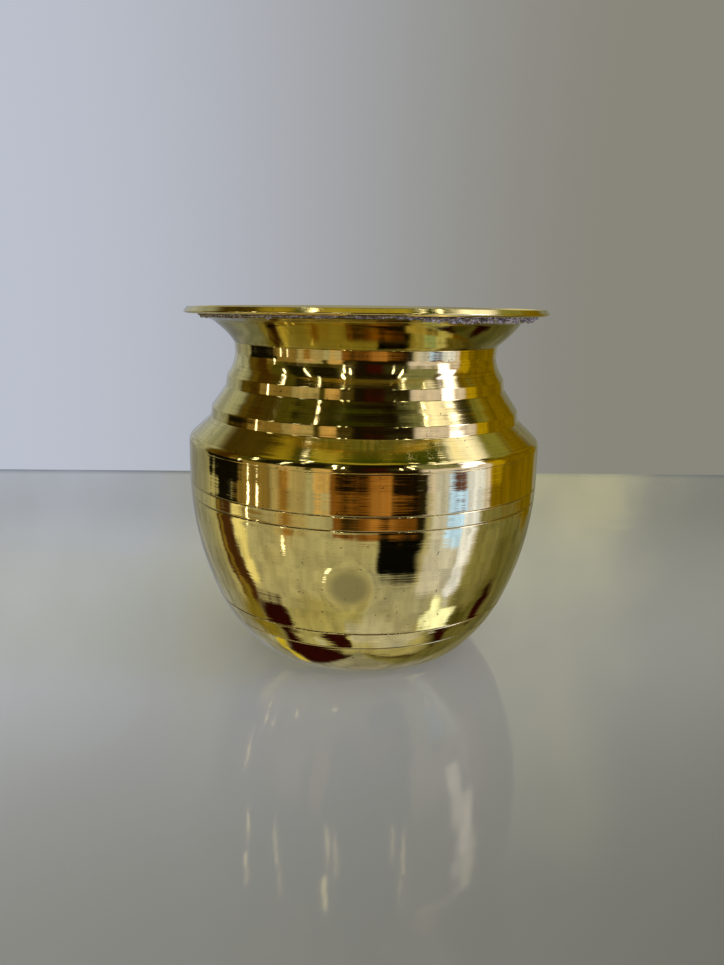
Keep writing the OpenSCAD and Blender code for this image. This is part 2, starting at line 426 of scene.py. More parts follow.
def solder_metal():
    """Dull grey solder with flux left on it."""
    material, tree = new_material("solder")
    mottled = remap(tree, object_noise(tree, 1100, 4, 0.7), 0.40, 0.66)
    base = mix_colour(tree, mottled, rgb(0.20, 0.16, 0.08), rgb(1.0, 0.88, 0.52))
    brown = remap(tree, object_noise(tree, 300, 3, 0.5), 0.58, 0.72)
    base = mix_colour(tree, brown, base, rgb(0.16, 0.10, 0.05))
    lumps = node(tree, "ShaderNodeBump", {"Height": object_noise(tree, 1600, 4, 0.6),
                                          "Distance": 0.25 * MM, "Strength": 0.8})
    metal = node(tree, "ShaderNodeBsdfPrincipled",
                 {"Base Color": base, "Metallic": 0.2, "Roughness": 0.6,
                  "Normal": lumps.outputs[0]})
    out = node(tree, "ShaderNodeOutputMaterial")
    tree.links.new(metal.outputs[0], out.inputs["Surface"])
    return material


# ---------------------------------------------------------------- hand-made irregularity

def smooth(t):
    t = np.clip(t, 0, 1)
    return t * t * (3 - 2 * t)


def waves(seed, turns_round, per_metre, count):
    """A gentle random surface over azimuth and height, periodic round the axis, within 1."""
    rng = np.random.default_rng(seed)
    round_it = rng.integers(-turns_round, turns_round + 1, count)
    upward = rng.uniform(-per_metre, per_metre, count) * 2 * math.pi
    phase = rng.uniform(0, 2 * math.pi, count)

    def value(azimuth, z):
        total = 0.0
        for a, b, c in zip(round_it, upward, phase):
            total = total + np.cos(a * azimuth + b * z + c)
        return total / math.sqrt(count)
    return value


def ripple(seed, wavelength, count=7):
    """Rings left by the spinning tool, as a sum of waves along the profile, within about 1."""
    rng = np.random.default_rng(seed)
    lengths = wavelength * rng.uniform(0.6, 1.8, count)
    phase = rng.uniform(0, 2 * math.pi, count)

    def value(z):
        total = 0.0
        for length, c in zip(lengths, phase):
            total = total + np.sin(2 * math.pi * z / length + c)
        return total / math.sqrt(count)
    return value


def pressed(azimuth, points, at_azimuth, at_z, radius, depth, flat):
    """How deep a round mark is pressed into the wall there, with a flat middle."""
    r, z = points[..., 0], points[..., 1]
    across = r * np.sin(azimuth - math.radians(at_azimuth))
    facing = np.cos(azimuth - math.radians(at_azimuth)) > 0
    distance = np.sqrt(across ** 2 + (1.08 * (z - at_z)) ** 2) / radius
    return depth * (1 - smooth((distance - flat) / (1 - flat))) * facing


# ---------------------------------------------------------------- pieces

SIDE_C = np.array([BELLY_R - SIDE_R,
                   CORNER_R + (LOWER_R - CORNER_R) * math.sin(math.radians(LOWER_TURN))
                   + (SIDE_R - LOWER_R) * math.sin(math.radians(SIDE_TURN))])
LOWER_C = SIDE_C + (SIDE_R - LOWER_R) * polar(-SIDE_TURN)
CORNER_C = LOWER_C + (LOWER_R - CORNER_R) * polar(-LOWER_TURN)
CORNER_TOP = (CORNER_C + CORNER_R * polar(-LOWER_TURN))[1]


def belly_radius(z, inward=0.0):
    """Radius of the belly's wall at height z, on a face that lies inward of the outside."""
    if z >= SIDE_C[1]:
        return BELLY_R - inward
    if z > SIDE_C[1] - (SIDE_R - inward) * math.sin(math.radians(SIDE_TURN)):
        return SIDE_C[0] + math.sqrt((SIDE_R - inward) ** 2 - (SIDE_C[1] - z) ** 2)
    return LOWER_C[0] + math.sqrt((LOWER_R - inward) ** 2 - (LOWER_C[1] - z) ** 2)


def belly_heights():
    """Heights of the outside's rings: even, and close together at the turned lines, where
    they are spaced in line widths."""
    even = np.arange(CORNER_TOP, SEAM_Z - 0.5 * MM, 0.62 * MM)
    near = np.array([-4, -3, -2.2, -1.6, -1.1, -0.7, -0.35, 0, 0.35, 0.7, 1.1, 1.6, 2.2, 3, 4])
    cut = np.concatenate([line + near * LINE_WIDTH for line, _ in LINES])
    clear = [z for z in even if min(abs(cut - z)) > 0.2 * MM]
    top = [SEAM_Z - 0.45 * MM, SEAM_Z - 0.32 * MM]
    return np.sort(np.concatenate([clear, cut, top]))


def line_cut(z):
    """Depth of the turned lines at height z, with a little burr thrown up beside each."""
    total = 0.0
    for line, depth in LINES:
        t = (z - line) / LINE_WIDTH
        total = total + depth * (np.exp(-t * t) - 0.16 * np.exp(-(abs(t) - 2) ** 2))
    return total


# The dent: its azimuth in degrees and its height, its radius and depth, and its rougher floor with
# painted shade
DENT = (-3.5, 31.5 * MM)
DENT_R, DENT_DEPTH, DENT_FLAT = 8.5 * MM, 0.34 * MM, 0.1
DULL_SHADE_R, DULL_SHADE_FADE = 3.4 * MM, 3.0 * MM
# Knocks: azimuth, height, radius, depth and how flat the middle is
KNOCKS = [(30.5, 7.6 * MM, 1.7 * MM, 0.14 * MM, 0.1), (152, 38 * MM, 5.5 * MM, 0.16 * MM, 0.2)]


def dull_and_shaded_patch(mesh):
    """Marks the dent's floor, which the polishing wheel didn't reach, so that it is rougher; its
    darker colour there is painted shade.
    """
    xyz = np.empty(3 * len(mesh.vertices), np.float32)
    mesh.vertices.foreach_get("co", xyz)
    x, y, z = xyz.reshape(-1, 3).T
    centre = math.radians(DENT[0])
    across = x * math.cos(centre) + y * math.sin(centre)
    facing = x * math.sin(centre) - y * math.cos(centre) > 0
    distance = np.hypot(across, 1.05 * (z - DENT[1]))
    store(mesh, "dull_and_shade", (1 - smooth((distance - DULL_SHADE_R) / DULL_SHADE_FADE)) * facing)


def bowl_outline():
    dish_r = CORNER_C[0] - FOOT_W
    dish_curve = (dish_r ** 2 + DISH_H ** 2) / (2 * DISH_H)
    dish_turn = math.degrees(math.asin(dish_r / dish_curve))
    dish_c = np.array([0, DISH_H - dish_curve])
    outline = Outline()
    outline.add(arc(dish_c, dish_curve, 90, 90 - dish_turn, 2.2 * MM), 0, 0.1)
    outline.add(straight(outline.points[-1], np.array([CORNER_C[0], 0.0]), 1.2 * MM), 0, 0.25)
    outline.add(arc(CORNER_C, CORNER_R, -90, -LOWER_TURN, 0.5 * MM)[:-1])
    for z in belly_heights():
        cut = float(line_cut(z))
        residue = min(1.0, max(0.0, cut / LINE_BLACK) ** 0.8)
        outline.add([np.array([belly_radius(z), z])], 0, residue)
    outline.add(traced([(BELLY_R, SEAM_Z - 0.3 * MM, 0), (BELLY_R, SEAM_Z - SEAM_BREAK, SEAM_ROUND),
                        (BELLY_R - SEAM_BREAK, SEAM_Z, SEAM_ROUND), (BELLY_R - BOWL_WALL, SEAM_Z, 0)],
                       0.3 * MM), 0, 0.05)
    inner_heights = np.arange(SEAM_Z - 0.5 * MM, CORNER_TOP + 1.2 * MM, -1.8 * MM)
    outline.add([np.array([belly_radius(z, BOWL_WALL), z]) for z in inner_heights], 1)
    outline.add(arc(CORNER_C, CORNER_R - BOWL_WALL, -LOWER_TURN - 4, -90, 0.9 * MM), 1)
    return outline.add(arc(dish_c, dish_curve + BOWL_WALL, 90 - dish_turn, 90, 2.2 * MM), 1)


def bowl(body):
    uneven = waves(seed=11, turns_round=7, per_metre=45, count=16)
    rings = ripple(seed=5, wavelength=4.5 * MM)

    def shape(azimuth, points, along, faces):
        r, z = points[..., 0], points[..., 1]
        on_wall = smooth((z - 1 * MM) / (9 * MM)) * smooth((SEAM_Z - z) / (4 * MM))
        dr = on_wall * (0.035 * MM * uneven(azimuth, z) + 0.010 * MM * rings(z))
        dr = dr - np.where(faces == 0, line_cut(z), 0) * (r > 25 * MM)
        dr = dr - pressed(azimuth, points, *DENT, DENT_R, DENT_DEPTH, DENT_FLAT)
        for knock in KNOCKS:
            dr = dr - pressed(azimuth, points, *knock)
        out = points.copy()
        out[..., 0] = r + dr * (r > 20 * MM)
        return out

    piece = turn("polished_bowl", bowl_outline(), 384, [POLISHED, INSIDE], body, shape)
    dull_and_shaded_patch(piece.data)
    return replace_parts(piece, "bowl")


def shoulder_outline():
    skirt_r = BELLY_R - BOWL_WALL - FILM
    bore_r = skirt_r - UPPER_WALL
    crease_r = WAIST_R + CREASE_FLARE
    (r1, z1), (r2, z2) = STEPS
    face = [
        (BELLY_R, SEAM_Z + SEAM_BREAK, 0),
        (BELLY_R, SEAM_Z + EDGE_RISE, EDGE_R),
        (r1, z1, STEP_FILLET),
        (r1 - STEP_LEAN, z1 + STEP_H, STEP_FILLET),
        (r2, z2, STEP_FILLET),
        (r2 - STEP_LEAN, z2 + STEP_H, STEP_FILLET),
        (WAIST_R + 0.5 * MM, WAIST_Z - FLANK_RISE, 8 * MM),
        (WAIST_R, WAIST_Z, 5 * MM),
        (crease_r, CREASE_Z - SEAM_BREAK, 0)]
    under = inset(face, UPPER_WALL)
    collar_r = WAIST_R - UPPER_WALL
    outline = Outline()
    outline.add(traced([(bore_r, SEAM_Z - LAP, 0), (skirt_r, SEAM_Z - LAP, EDGE_BREAK),
                        (skirt_r, SEAM_Z, 0), (BELLY_R - SEAM_BREAK, SEAM_Z, SEAM_ROUND),
                        face[0]], 0.9 * MM), 0, 0.05)
    outline.add(traced(face, 0.31 * MM)[1:])
    outline.add(traced([(crease_r, CREASE_Z - SEAM_BREAK, 0),
                        (crease_r - SEAM_BREAK, CREASE_Z, SEAM_ROUND),
                        (collar_r, CREASE_Z, 0)], 0.3 * MM)[1:], 0, 0.1)
    inner = [(collar_r, CREASE_Z - 0.3 * MM, 0), (collar_r, WAIST_Z - FLANK_RISE + 0.5 * MM, 0.5 * MM)]
    inner += [under[i] for i in (5, 4, 3, 2)]
    inner += [at_radius(under[1], under[2], bore_r), (bore_r, SEAM_Z - LAP + 0.1 * MM, 0)]
    inner[-2] = (*inner[-2][:2], 0.4 * MM)
    return outline.add(traced(inner, 0.9 * MM), 1)


def shoulder(body):
    uneven = waves(seed=23, turns_round=6, per_metre=25, count=14)
    rings = ripple(seed=9, wavelength=2.2 * MM)

    def shape(azimuth, points, along, faces):
        r, z = points[..., 0], points[..., 1]
        free = smooth((z - SEAM_Z - 0.3 * MM) / (3 * MM)) * smooth((CREASE_Z - z) / (3 * MM))
        dr = free * (0.03 * MM * uneven(azimuth, z) + 0.006 * MM * rings(along) * (faces == 0))
        out = points.copy()
        out[..., 0] = r + dr
        return out

    piece = turn("turned_shoulder", shoulder_outline(), 384, [TURNED, INSIDE], body, shape)
    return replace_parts(piece, "shoulder")


# The lip ring's frame: ALONG runs outwards up its slope, and ACROSS up through it
ALONG = polar(LIP_SLOPE)
ACROSS = left(ALONG)
ROLL_C = np.array([MOUTH_R - ROLL_R, RIM_Z - ROLL_R])
LIP_INNER = ROLL_C + ACROSS * (ROLL_R - LIP_T) - ALONG * (LIP_W - ROLL_R)
NECK_END = LIP_INNER + ALONG * LIP_LAP
NECK_TIP = NECK_END - ACROSS * UPPER_WALL
# The rim's and the neck's hand-made errors
RIM_TILT = 0.475 * MM
RIM_BOW = 0.19 * MM
RIM_CLEARANCE = 0.06 * MM
LIP_TRIM = 0.09 * MM
NECK_LEAN = 0.7 * MM


def rim_drop(azimuth, z):
    """The hand-worked rim isn't quite level: it is low on the left and bowed a little. It is
    never above the true height."""
    off_level = RIM_TILT * np.sin(azimuth) + RIM_BOW * np.cos(2 * azimuth)
    high = RIM_TILT - RIM_BOW + RIM_CLEARANCE
    return (off_level - high) * smooth((z - CREASE_Z) / (NECK_END[1] - 1 * MM - CREASE_Z))


def neck_outline():
    crease = np.array([WAIST_R + CREASE_FLARE, CREASE_Z])
    rise = polar(NECK_SLOPE)
    gap = NECK_TIP - crease
    run = (gap[0] * ALONG[1] - gap[1] * ALONG[0]) / (rise[0] * ALONG[1] - rise[1] * ALONG[0])
    bend = crease + run * rise
    foot = crease + SEAM_BREAK * rise
    face = [(*foot, 0), (*bend, NECK_BEND_R), (*NECK_TIP, 0)]
    throat = inset(face, UPPER_WALL)
    spigot_r = WAIST_R - UPPER_WALL - FILM
    bore_r = spigot_r - UPPER_WALL
    outline = Outline()
    outline.add(traced([(bore_r, CREASE_Z - LAP, 0), (spigot_r, CREASE_Z - LAP, EDGE_BREAK),
                        (spigot_r, CREASE_Z, 0), (crease[0] - SEAM_BREAK, CREASE_Z, SEAM_ROUND),
                        (*foot, 0)], 0.8 * MM), 0, 0.1)
    outline.add(traced(face, 0.25 * MM)[1:])
    outline.add(traced([(*NECK_TIP, 0), (*NECK_END, 0)], 0.25 * MM)[1:-1], 0, 0.5)
    return outline.add(traced([throat[2], throat[1],
                               (bore_r, CREASE_Z - UPPER_WALL / 2, 2 * UPPER_WALL),
                               (bore_r, CREASE_Z - LAP + 0.1 * MM, 0)], 0.35 * MM), 1)


def neck(body):
    uneven = waves(seed=31, turns_round=5, per_metre=80, count=12)

    def shape(azimuth, points, along, faces):
        z = points[..., 1]
        t = np.clip((z - CREASE_Z) / (NECK_TIP[1] - CREASE_Z), 0, 1)
        out = points.copy()
        out[..., 0] += np.sin(math.pi * t) * (NECK_LEAN * np.sin(azimuth)
                                              + 0.05 * MM * uneven(azimuth, z))
        out[..., 1] += rim_drop(azimuth, z)
        return out

    piece = turn("flared_neck", neck_outline(), 384, [NECK, INSIDE], body, shape)
    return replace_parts(piece, "neck")


def lip_outline():
    bevel = LIP_INNER + ACROSS * LIP_T / 3
    top = LIP_INNER + ACROSS * LIP_T + ALONG * LIP_T
    under = ROLL_C + ACROSS * (ROLL_R - LIP_T) - ALONG * ROLL_R
    roll_top = ROLL_C + ACROSS * ROLL_R
    # The roll's flattened face leans back, so its corners are given from the mouth's edge
    roll = [(MOUTH_R - 1.55 * MM, RIM_Z - 1.55 * MM, 0.25 * MM),
            (MOUTH_R - 0.62 * MM, RIM_Z - 1.9 * MM, 0.5 * MM),
            (MOUTH_R, RIM_Z - 1.35 * MM, 0.3 * MM),
            (MOUTH_R - 1.02 * MM, RIM_Z - 0.05 * MM, 0.28 * MM)]
    outline = Outline().add([LIP_INNER])
    outline.add(straight(LIP_INNER, under, 0.5 * MM) + [under], 0, 0.85)
    return outline.add(traced([(*under, 0), *roll, (*roll_top, 0.6 * MM), (*top, 0.3 * MM),
                               (*bevel, EDGE_BREAK), (*LIP_INNER, 0)], 0.3 * MM)[1:-1])


def lip_ring(body):
    uneven = waves(seed=41, turns_round=9, per_metre=10, count=12)

    def shape(azimuth, points, along, faces):
        free = smooth((points[..., 0] - NECK_END[0]) / (3 * MM))
        out = points.copy()
        out[..., 0] += (0.04 * MM * uneven(azimuth, 0.3) - LIP_TRIM) * free
        out[..., 1] += rim_drop(azimuth, RIM_Z) + 0.02 * MM * uneven(azimuth, 0.5) * free
        return out

    piece = turn("rolled_lip", lip_outline(), 512, [LIP], body, shape)
    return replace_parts(piece, "lip_ring")


# Sizes of the solder run, as shares of the room for it
THIN_RUN, HEAVY_RUN, SCARCE, BARE = 0.34, 0.42, 0.12, 0.06


def crust_size(azimuth, spot):
    """How much solder lies there, from 0 to 1. It is heaviest at the front right, and
    scarce in the middle of the front."""
    heavy = THIN_RUN + HEAVY_RUN * math.exp(-((azimuth - 0.82) / 0.50) ** 4)
    heavy -= SCARCE * math.exp(-((azimuth + 0.05) / 0.30) ** 2)
    patch = noise.noise(Vector((spot.x, spot.y, 40.0)) * 0.22)
    lump = noise.noise(spot * 0.55) + 0.8 * noise.noise(spot * 1.3) + 0.5 * noise.noise(spot * 2.8)
    return min(1.0, max(BARE, heavy + 0.16 * patch + 0.95 * heavy * lump))


def lip_solder(body):
    """A lumpy run of solder in the corner between the end of the neck and the lip ring."""
    w = UPPER_WALL

    def place(u, v):
        return NECK_END + ALONG * u - ACROSS * v

    corners = [(*place(0.02 * MM, 0), 0), (*place(0.02 * MM, w), 0.05 * MM),
               (*place(-1.5 * w, 1.05 * w), 0.15 * MM), (*place(-1.2 * w, 1.7 * w), 0.3 * MM),
               (*place(-0.2 * w, 2.1 * w), 0.4 * MM), (*place(1.0 * w, 1.9 * w), 0.4 * MM),
               (*place(2.4 * w, 1.3 * w), 0.3 * MM), (*place(3.6 * w, 0.7 * w), 0.2 * MM),
               (*place(4.2 * w, 0.02 * w), 0)]
    outline = Outline().add(traced(corners, 0.16 * MM))

    def shape(azimuth, points, along, faces):
        out = points.copy()
        anchor = place(0, 0)
        for k, a in enumerate(azimuth[0]):
            signed = (a + math.pi) % (2 * math.pi) - math.pi
            for i in range(points.shape[0]):
                r, z = points[i, k]
                spot = Vector((r * math.sin(a), -r * math.cos(a), z)) / MM
                keep = min(1.0, max(0.0, along[i, 0] / (0.9 * MM)))
                factor = 1 - (1 - crust_size(signed, spot)) * keep
                out[i, k] = anchor + (points[i, k] - anchor) * factor
        out[..., 1] += rim_drop(azimuth, RIM_Z)
        return out

    piece = turn("solder_run", outline, 1100, [SOLDER], body, shape)
    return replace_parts(piece, "lip_solder")


def hidden_braze():
    for name in ("belly_braze", "neck_braze"):
        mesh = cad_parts[name].data
        mesh.materials.clear()
        mesh.materials.append(BRAZE)


# ---------------------------------------------------------------- studio

SHELF_FRONT, SHELF_BACK = -0.20, 0.241
SHELF_HALF_W = 0.34
SHELF_T = 0.012
SHELF_TURN = 3.5


def shelf_material():
    """Pale glass, painted darker towards the near right and along the back edge, and glowing a
    little as painted light. The brass looks through it to the studio's lower panels, which stand in
    for what lies under a glass shelf."""
    material, tree = new_material("pale_shelf")
    place = node(tree, "ShaderNodeTexCoord").outputs["Object"]
    xyz = node(tree, "ShaderNodeSeparateXYZ", {0: place}).outputs
    across = remap(tree, xyz[0], -0.14, 0.16)
    # Painted light and shade: the shelf is lighter on the left and in the middle, and darker to the
    # right and at the front.
    near = mix_colour(tree, across, rgb(0.22, 0.22, 0.18), rgb(0.09, 0.09, 0.06))
    middle = mix_colour(tree, across, rgb(0.35, 0.36, 0.32), rgb(0.21, 0.21, 0.16))
    far = mix_colour(tree, across, rgb(0.26, 0.27, 0.24), rgb(0.16, 0.16, 0.12))
    base = mix_colour(tree, remap(tree, xyz[1], -0.15, 0.0), near, middle)
    base = mix_colour(tree, remap(tree, xyz[1], 0.03, 0.17), base, far)
    # Painted shade: a dark line along the back edge.
    base = mix_colour(tree, remap(tree, xyz[1], SHELF_BACK - 0.016, SHELF_BACK), base,
                      rgb(0.10, 0.11, 0.10))
    rough = remap(tree, object_noise(tree, 40, 4, 0.6), 0.3, 0.7, 0.05, 0.09)
    waviness = node(tree, "ShaderNodeBump", {"Height": object_noise(tree, 45, 2, 0.5),
                                             "Distance": 0.10 * MM, "Strength": 1.0})
    # The emission is painted light: the shelf glows, which lightens the pot's shadow on it.
    gloss = node(tree, "ShaderNodeBsdfPrincipled",
                 {"Base Color": base, "Roughness": rough, "Specular IOR Level": 0.3,
                  "Emission Color": base, "Emission Strength": 0.45,
                  "Normal": waviness.outputs[0]})
    clear = node(tree, "ShaderNodeBsdfTransparent")
    ray = node(tree, "ShaderNodeLightPath").outputs["Is Camera Ray"]
    seen = node(tree, "ShaderNodeMixShader", {0: ray, 1: clear.outputs[0], 2: gloss.outputs[0]})
    out = node(tree, "ShaderNodeOutputMaterial")
    tree.links.new(seen.outputs[0], out.inputs["Surface"])
    return material


def shelf():
    """The board that the pot stands on, with softly rounded edges."""
    mesh = bpy.data.meshes.new("shelf")
    x, y0, y1, t = SHELF_HALF_W, SHELF_FRONT, SHELF_BACK, SHELF_T
    corners = [(-x, y0, -t), (x, y0, -t), (x, y1, -t), (-x, y1, -t),
               (-x, y0, 0), (x, y0, 0), (x, y1, 0), (-x, y1, 0)]
    sides = [(3, 2, 1, 0), (4, 5, 6, 7), (0, 1, 5, 4), (1, 2, 6, 5), (2, 3, 7, 6), (3, 0, 4, 7)]
    mesh.from_pydata(corners, [], sides)
    mesh.materials.append(shelf_material())
    board = bpy.data.objects.new("shelf", mesh)
    bpy.context.scene.collection.objects.link(board)
    edge = board.modifiers.new("edge", "BEVEL")
    edge.width, edge.segments = 1.5 * MM, 4
    board.rotation_euler.z = math.radians(SHELF_TURN)


# What the polished brass reflects: softboxes, cards and flags round the pot, each laid over
# those before it. Azimuth is in degrees from the camera's side towards the right, and
# elevation is above level. Panels that meet behind the pot run on past 180 degrees.
# Each has a name, azimuths, elevations, softness, colour and brightness.
STUDIO = [
    ("ceiling", (-200, 200), (52, 91), 8, (0.72, 1.05, 0.08), 0.058),
    ("ceiling_edge", (-72, 62), (52, 62), 5, (1.0, 1.0, 0.4), 0.012),
    ("wall_glow", (161, 174), (10, 37), 5, (1.0, 0.93, 0.45), 0.75),
    ("wall_glow_left", (-175, -166), (10, 37), 6, (1.0, 0.86, 0.28), 0.36),
    ("gold_wall_left", (-117, -84), (-8, 60), 8, (1.0, 0.70, 0.12), 0.100),
    ("dark_upper_left", (-168, -84), (31, 66), 9, (1.0, 0.72, 0.14), 0.060),
    ("brown_post", (-106, -93), (2, 38), 8, (1.0, 0.50, 0.06), 0.050),
    ("shade_left", (-88, -18), (8, 58), 6, (1.0, 0.94, 0.20), 0.064),
    ("black_left", (-71, -53), (9, 50), 5, (1.0, 1.0, 0.4), 0.010),
    ("black_left_middle", (-49, -24), (12, 54), 6, (1.0, 0.9, 0.4), 0.010),
    ("upper_right", (34, 66), (10, 56), 9, (0.92, 1.02, 1.1), 0.230),
    ("under_shelf", (-124, 128), (-91, -9), 6, (1.0, 1.0, 0.95), 0.40),
    ("floor_left", (-200, -140), (-91, -42), 12, (1.0, 0.98, 0.65), 0.195),
    ("wall_low", (-172, -118), (-48, -4), 10, (1.0, 1.06, 1.25), 0.27),
    ("floor_right", (140, 200), (-91, -14), 12, (1.0, 0.98, 0.65), 0.195),
    ("floor_behind_left", (-200, -150), (-91, -48), 8, (1.0, 1.05, 1.5), 0.27),
    ("floor_behind_right", (154, 200), (-91, -48), 8, (1.0, 1.05, 1.5), 0.27),
    ("under_shelf_middle", (-100, 62), (-52, -10), 9, (1.0, 1.01, 1.30), 0.43),
    ("under_shelf_cool", (2, 66), (-66, -42), 9, (1.0, 1.06, 1.7), 0.38),
    ("under_shelf_low", (-18, 92), (-80, -64), 6, (1.0, 1.07, 2.0), 0.50),
    ("khaki_right", (82, 150), (-62, -8), 7, (1.0, 1.0, 0.8), 0.22),
    ("olive_right", (106, 150), (-64, -18), 9, (1.0, 0.98, 0.5), 0.130),
    ("gold_card", (84, 146), (-18, 36), 4, (1.0, 0.70, 0.01), 0.175),
    ("gold_card_bright", (83, 98), (-10, 20), 6, (1.0, 0.74, 0.02), 0.44),
    ("green_card_top", (104, 142), (30, 48), 7, (1.0, 1.05, 0.4), 0.20),
    ("top_right_glow", (64, 132), (43, 58), 6, (1.0, 1.02, 1.9), 1.30),
    ("rim_gold", (-86, 60), (68, 80), 4, (1.0, 0.85, 0.20), 0.36),
    ("rim_gold_left", (-106, -82), (50, 64), 4, (1.0, 0.80, 0.12), 0.28),
    ("shade_right", (96, 107), (34, 43), 4, (1.0, 1.0, 0.5), 0.030),
    ("shade_right_high", (119, 134), (45, 55), 4, (1.0, 1.0, 0.5), 0.030),
    ("gold_counter", (-92, -60), (-20, 9), 3, (1.0, 0.72, 0.40), 0.24),
    ("pale_pillar", (-60, -36), (-26, 9), 4, (1.0, 0.86, 0.85), 0.42),
    ("pillar_shade", (-54, -47), (-27, -8), 4, (1.0, 0.58, 0.25), 0.34),
    ("peach_pillar", (-53, -45), (-10, 4), 4, (1.0, 0.70, 0.70), 0.60),
    ("peach_counter", (-30, -19), (-15, 10), 3, (1.0, 0.70, 0.55), 0.62),
    ("pale_counter", (36, 86), (-14, 12), 4, (1.0, 0.96, 2.2), 0.72),
    ("window_low", (46, 82), (-47, -8), 5, (0.92, 1.0, 2.4), 0.66),
    ("window_low_sky", (56, 70), (-29, -11), 3, (0.62, 1.05, 4.4), 0.95),
    ("window_low_white", (70, 80), (-45, -6), 3, (0.92, 1.08, 3.3), 1.00),
    ("window_low_shade", (55, 68), (-12, -7), 3, (0.9, 0.45, 0.75), 0.16),
    ("window_right", (80, 90), (30, 44), 5, (1.0, 1.02, 2.2), 3.6),
    ("window_middle", (72, 82), (16, 38), 5, (1.0, 1.02, 3.0), 4.2),
    ("window_left", (65, 75), (2, 24), 5, (1.0, 1.02, 3.0), 3.2),
    ("dark_middle", (-10, 34), (-12, 62), 4, (1.0, 0.68, 0.40), 0.010),
    ("maroon_middle", (1, 16), (8, 30), 8, (1.0, 0.15, 0.15), 0.035),
    ("olive_middle", (16, 36), (8, 30), 8, (1.0, 0.95, 0.5), 0.035),
    ("shade_middle", (-19, -9), (-12, 12), 4, (1.0, 0.8, 0.3), 0.050),
    ("warm_card", (-20, 39), (-27, -10), 3, (1.0, 0.42, 0.12), 0.20),
    ("warm_card_light", (4, 22), (-24, -12), 7, (1.0, 0.48, 0.22), 0.40),
    ("warm_card_top", (-16, 2), (-13, -8), 3, (1.0, 0.6, 0.3), 0.010),
    ("warm_card_corner", (18, 40), (-15, -8), 4, (1.0, 0.6, 0.3), 0.008),
    ("warm_card_shade", (-12, -3), (-24, -16), 4, (1.0, 0.7, 0.3), 0.03),
    ("warm_card_edge", (34, 41), (-26, -9), 4, (1.0, 0.8, 0.5), 0.02),
    ("dark_card", (10, 42), (-44, -25), 5, (1.0, 1.0, 1.0), 0.003),
    ("edge_strip", (-115, -79), (-11, 0), 2, (1.0, 0.9, 0.7), 0.005),
    ("edge_strip_middle", (-110, -86), (-13, -9), 2, (1.0, 0.9, 0.7), 0.005),
    ("edge_strip_low", (-105, -93), (-16, -10), 2, (1.0, 0.9, 0.7), 0.005),
    ("maroon_side", (-112, -95), (-46, -17), 4, (1.0, 0.42, 0.20), 0.060),
    ("maroon_streak", (-109, -105), (-42, -17), 2, (1.0, 0.70, 0.20), 0.20),
    ("gold_corner", (-128, -104), (-57, -40), 8, (1.0, 0.85, 0.20), 0.22),
    ("gold_glint", (-94, -84), (-40, -18), 3, (1.0, 0.95, 0.9), 0.80),
    ("maroon_low", (-104, -77), (-62, -46), 5, (1.0, 0.12, 0.10), 0.022),
    ("maroon_lower", (-156, -98), (-83, -58), 5, (1.0, 0.12, 0.10), 0.022),
    ("gold_line", (-156, -120), (-58, -54), 3, (1.0, 0.85, 0.10), 0.60),
    ("pale_gap", (-82, -75), (-74, -70), 3, (1.0, 1.1, 1.8), 0.60),
    ("maroon_front", (-66, -24), (-84, -69), 4, (1.0, 0.12, 0.10), 0.022),
    ("olive_patch", (98, 113), (-60, -46), 5, (1.0, 0.95, 0.35), 0.080),
    ("maroon_right", (117, 128), (-45, -34), 5, (1.0, 0.12, 0.10), 0.022),
    ("maroon_right_low", (78, 126), (-60, -55), 3, (1.0, 0.12, 0.10), 0.022),
    ("low_glow", (66, 96), (-59, -48), 4, (1.0, 1.15, 1.9), 1.25),
]
# Small lamps: azimuth, elevation, half width and half height in degrees, brightness
LAMPS = [
    (-82, 37, 0.8, 4, 14), (-76, 26, 0.6, 6, 12), (-83, 4, 0.9, 7, 5), (-54, 31, 0.5, 14, 12),
    (-21, 42, 0.9, 9, 16), (-18, 22, 0.5, 10, 14), (-13, 27, 0.45, 11, 12),
    (-47, 47, 0.7, 4, 10), (24, 22, 0.4, 10, 10), (32, 30, 0.5, 15, 13), (39, 46, 1.1, 5, 10),
    (62, 50, 1.1, 4, 8), (-82, 67, 3.5, 2.0, 7), (-65, 66, 1.6, 3, 14), (-52, 57, 1.6, 1.6, 10),
    (70, 69, 1.8, 3.2, 7), (82, 63, 2.6, 2.2, 7), (94, 60, 4.0, 2.2, 2.5), (108, 55, 9.0, 2.5, 1.2),
    (-77, -14, 0.8, 3, 6), (-70, -15, 0.8, 3, 5), (-80, -20, 0.7, 2, 5), (-55, -30, 1.3, 2.2, 4),
    (-23, -43, 3.4, 2.4, 2.8),
]
# How far noise pushes a panel's edge, in degrees, and how blue the lamps are
WARP = 6.0
LAMP_BLUE = 1.6


def band(tree, value, low, high, softness):
    """1 between low and high, falling to 0 over softness at each side."""
    half = (high - low) / 2
    away = maths(tree, "ABSOLUTE", maths(tree, "SUBTRACT", value, (low + high) / 2))
    return remap(tree, away, half + softness / 2, half - softness / 2)


def noise_at(tree, place, scale, detail, roughness):
    return node(tree, "ShaderNodeTexNoise", {
        "Vector": place, "Scale": scale, "Detail": detail, "Roughness": roughness}).outputs["Fac"]


def warped(tree, way, angle, offset):
    """The angle, pushed about a little by noise, so that no panel has a ruled edge."""
    moved = node(tree, "ShaderNodeVectorMath", {0: way, 1: offset}, operation="ADD").outputs[0]
    push = maths(tree, "MULTIPLY_ADD", noise_at(tree, moved, 6.0, 5.0, 0.62), 2 * WARP, -WARP)
    return maths(tree, "ADD", angle, push)


